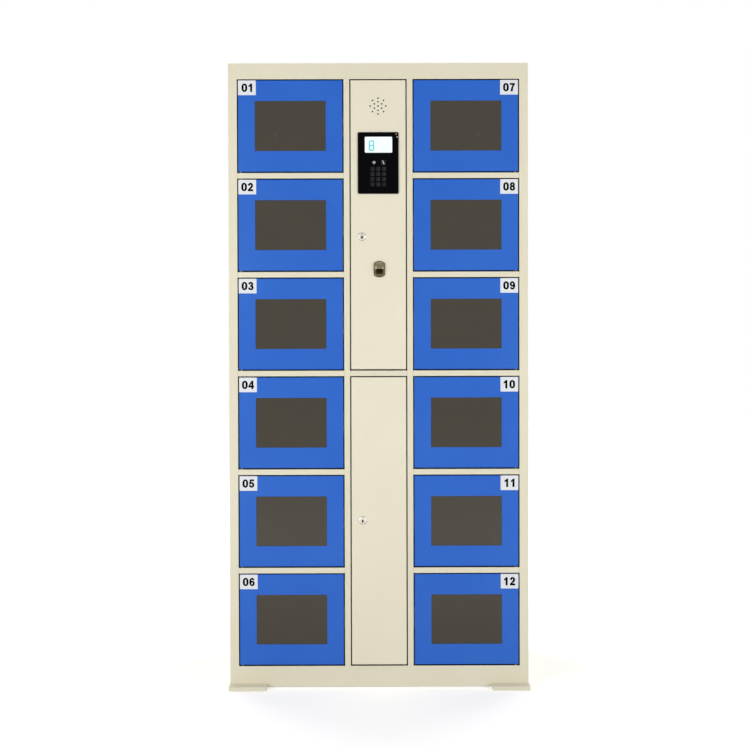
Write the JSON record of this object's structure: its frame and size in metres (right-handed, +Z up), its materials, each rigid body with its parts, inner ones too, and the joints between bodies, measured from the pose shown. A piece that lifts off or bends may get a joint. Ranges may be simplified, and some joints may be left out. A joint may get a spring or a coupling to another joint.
{
  "type": "smart locker",
  "caption": "Free-standing folded-steel electronic locker with window doors in two columns and a central service column behind two tall doors with a touch terminal.",
  "frame": {"origin": "on the floor, under the middle of the overall box, feet included", "axes": "+X to the right seen from the front, +Y from the doors towards the back, +Z up"},
  "size_m": [0.9, 0.457, 1.878],
  "materials": {
    "beige_enamel": "satin cream powder coat on sheet steel",
    "blue_enamel": "satin blue powder coat on sheet steel",
    "smoked_acrylic": "polished smoke-tinted acrylic",
    "zinc_steel": "zinc-plated steel",
    "lock_case": "zinc-plated pressed case",
    "lock_chrome": "bright plated",
    "reader_metal": "dark polished plate",
    "black_plastic": "fine-grained moulding",
    "terminal_glass": "black-backed polished glass",
    "supply_case": "brushed sheet",
    "circuit_board": "solder-masked laminate"
  },
  "bodies": {
    "cabinet": {"left_side": "beige_enamel", "right_side": "beige_enamel", "column_wall_left": "beige_enamel", "column_wall_right": "beige_enamel", "base_panel": "beige_enamel", "top_panel": "beige_enamel", "back_panel": "beige_enamel", "shelves": "beige_enamel", "feet": "beige_enamel", "hinge_pins": "zinc_steel", "electric_locks": "lock_case", "power_inlet": "black_plastic", "power_supply": "supply_case", "control_board": "circuit_board"},
    "door_01": {"door_01": "blue_enamel", "door_01_window": "smoked_acrylic", "door_01_fittings": "zinc_steel"},
    "door_02": {"door_02": "blue_enamel", "door_02_window": "smoked_acrylic", "door_02_fittings": "zinc_steel"},
    "door_03": {"door_03": "blue_enamel", "door_03_window": "smoked_acrylic", "door_03_fittings": "zinc_steel"},
    "door_04": {"door_04": "blue_enamel", "door_04_window": "smoked_acrylic", "door_04_fittings": "zinc_steel"},
    "door_05": {"door_05": "blue_enamel", "door_05_window": "smoked_acrylic", "door_05_fittings": "zinc_steel"},
    "door_06": {"door_06": "blue_enamel", "door_06_window": "smoked_acrylic", "door_06_fittings": "zinc_steel"},
    "door_07": {"door_07": "blue_enamel", "door_07_window": "smoked_acrylic", "door_07_fittings": "zinc_steel"},
    "door_08": {"door_08": "blue_enamel", "door_08_window": "smoked_acrylic", "door_08_fittings": "zinc_steel"},
    "door_09": {"door_09": "blue_enamel", "door_09_window": "smoked_acrylic", "door_09_fittings": "zinc_steel"},
    "door_10": {"door_10": "blue_enamel", "door_10_window": "smoked_acrylic", "door_10_fittings": "zinc_steel"},
    "door_11": {"door_11": "blue_enamel", "door_11_window": "smoked_acrylic", "door_11_fittings": "zinc_steel"},
    "door_12": {"door_12": "blue_enamel", "door_12_window": "smoked_acrylic", "door_12_fittings": "zinc_steel"},
    "upper_service_door": {"upper_door": "beige_enamel", "speaker": "black_plastic", "terminal_housing": "black_plastic", "terminal_glass": "terminal_glass", "fingerprint_reader": "reader_metal", "upper_lock_barrel": "lock_chrome"},
    "lower_service_door": {"lower_door": "beige_enamel", "lower_lock_barrel": "lock_chrome"},
    "upper_cam_lock": {"upper_lock_cam": "zinc_steel"},
    "lower_cam_lock": {"lower_lock_cam": "zinc_steel"}
  },
  "joints": [
    {"name": "door_01_hinge", "type": "hinge", "parent": "cabinet", "child": "door_01", "pos_m": [-0.4125, -0.187, 1.5495], "axis": [0, 0, -1], "range_deg": [0, 110]},
    {"name": "door_02_hinge", "type": "hinge", "parent": "cabinet", "child": "door_02", "pos_m": [-0.4125, -0.187, 1.2525], "axis": [0, 0, -1], "range_deg": [0, 110]},
    {"name": "door_03_hinge", "type": "hinge", "parent": "cabinet", "child": "door_03", "pos_m": [-0.4125, -0.187, 0.9555], "axis": [0, 0, -1], "range_deg": [0, 110]},
    {"name": "door_04_hinge", "type": "hinge", "parent": "cabinet", "child": "door_04", "pos_m": [-0.4125, -0.187, 0.6585], "axis": [0, 0, -1], "range_deg": [0, 110]},
    {"name": "door_05_hinge", "type": "hinge", "parent": "cabinet", "child": "door_05", "pos_m": [-0.4125, -0.187, 0.3615], "axis": [0, 0, -1], "range_deg": [0, 110]},
    {"name": "door_06_hinge", "type": "hinge", "parent": "cabinet", "child": "door_06", "pos_m": [-0.4125, -0.187, 0.0645], "axis": [0, 0, -1], "range_deg": [0, 110]},
    {"name": "door_07_hinge", "type": "hinge", "parent": "cabinet", "child": "door_07", "pos_m": [0.4125, -0.187, 1.5495], "axis": [0, 0, 1], "range_deg": [0, 110]},
    {"name": "door_08_hinge", "type": "hinge", "parent": "cabinet", "child": "door_08", "pos_m": [0.4125, -0.187, 1.2525], "axis": [0, 0, 1], "range_deg": [0, 110]},
    {"name": "door_09_hinge", "type": "hinge", "parent": "cabinet", "child": "door_09", "pos_m": [0.4125, -0.187, 0.9555], "axis": [0, 0, 1], "range_deg": [0, 110]},
    {"name": "door_10_hinge", "type": "hinge", "parent": "cabinet", "child": "door_10", "pos_m": [0.4125, -0.187, 0.6585], "axis": [0, 0, 1], "range_deg": [0, 110]},
    {"name": "door_11_hinge", "type": "hinge", "parent": "cabinet", "child": "door_11", "pos_m": [0.4125, -0.187, 0.3615], "axis": [0, 0, 1], "range_deg": [0, 110]},
    {"name": "door_12_hinge", "type": "hinge", "parent": "cabinet", "child": "door_12", "pos_m": [0.4125, -0.187, 0.0645], "axis": [0, 0, 1], "range_deg": [0, 110]},
    {"name": "upper_service_door_hinge", "type": "hinge", "parent": "cabinet", "child": "upper_service_door", "pos_m": [0.075, -0.187, 0.9555], "axis": [0, 0, 1], "range_deg": [0, 110]},
    {"name": "upper_cam_turn", "type": "hinge", "parent": "upper_service_door", "child": "upper_cam_lock", "pos_m": [-0.0492, -0.171, 1.358], "axis": [0, 1, 0], "range_deg": [0, 90]},
    {"name": "lower_service_door_hinge", "type": "hinge", "parent": "cabinet", "child": "lower_service_door", "pos_m": [0.075, -0.187, 0.0645], "axis": [0, 0, 1], "range_deg": [0, 110]},
    {"name": "lower_cam_turn", "type": "hinge", "parent": "lower_service_door", "child": "lower_cam_lock", "pos_m": [-0.0492, -0.171, 0.504], "axis": [0, 1, 0], "range_deg": [0, 90]}
  ]
}
